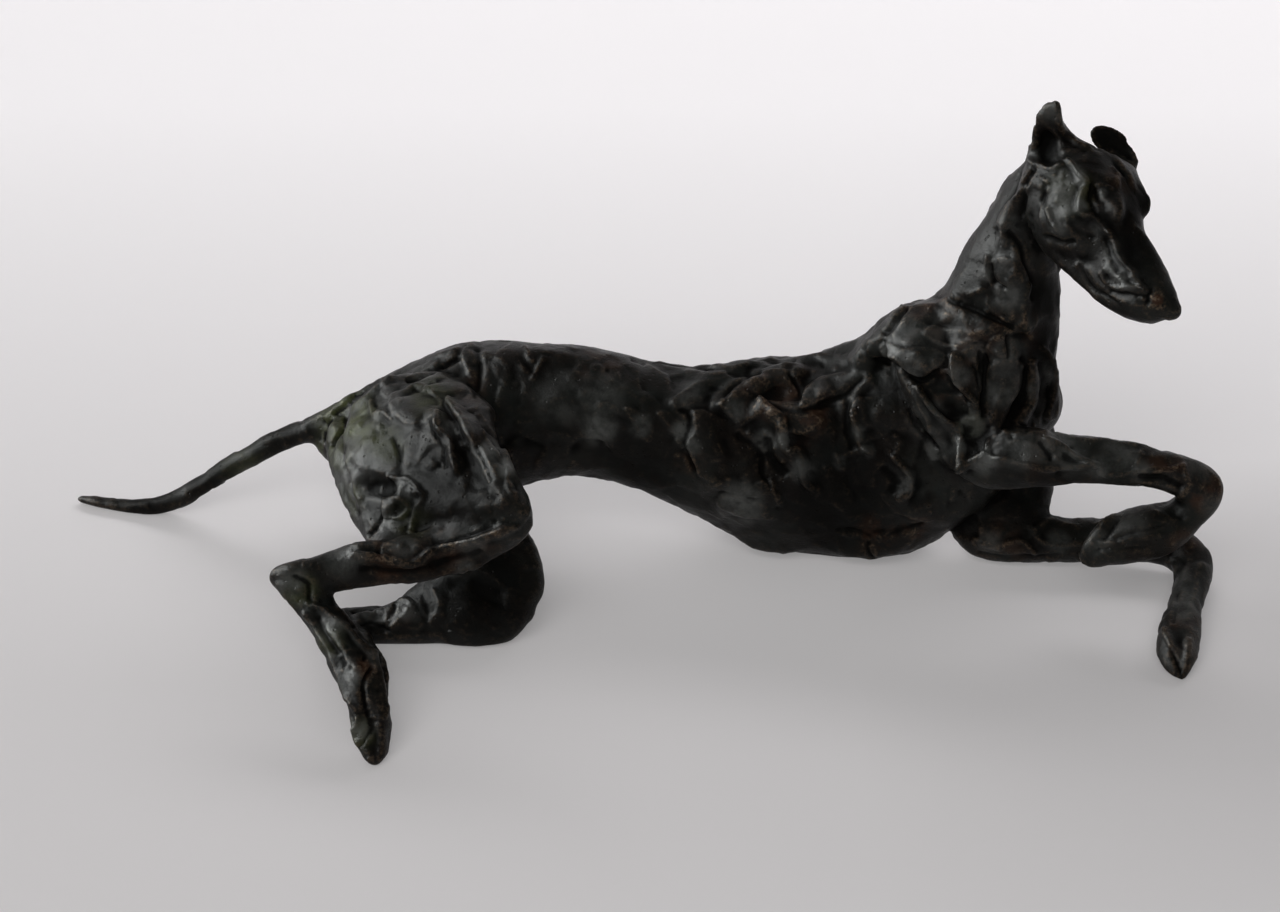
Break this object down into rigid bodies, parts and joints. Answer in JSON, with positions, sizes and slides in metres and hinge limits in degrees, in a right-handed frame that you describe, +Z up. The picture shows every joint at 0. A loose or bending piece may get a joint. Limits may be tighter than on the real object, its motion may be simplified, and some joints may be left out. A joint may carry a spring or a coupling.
{
  "type": "greyhound statue",
  "caption": "Bronze statue of a lying greyhound with its head raised and turned, forelegs folded, hind legs drawn up and long tail resting on the ground.",
  "frame": {"origin": "middle of the footprint, on the surface the statue lies on", "axes": "+X towards the folded wrist of the forelegs, -X towards the tail tip, +Y to the far flank, -Y towards the hind paws, +Z up"},
  "size_m": [0.55, 0.215, 0.2423],
  "materials": {
    "bronze": "dark brown patinated cast bronze, semi-gloss, rubbed warm edges, some green"
  },
  "bodies": {
    "root": {"greyhound": "bronze"}
  },
  "joints": []
}
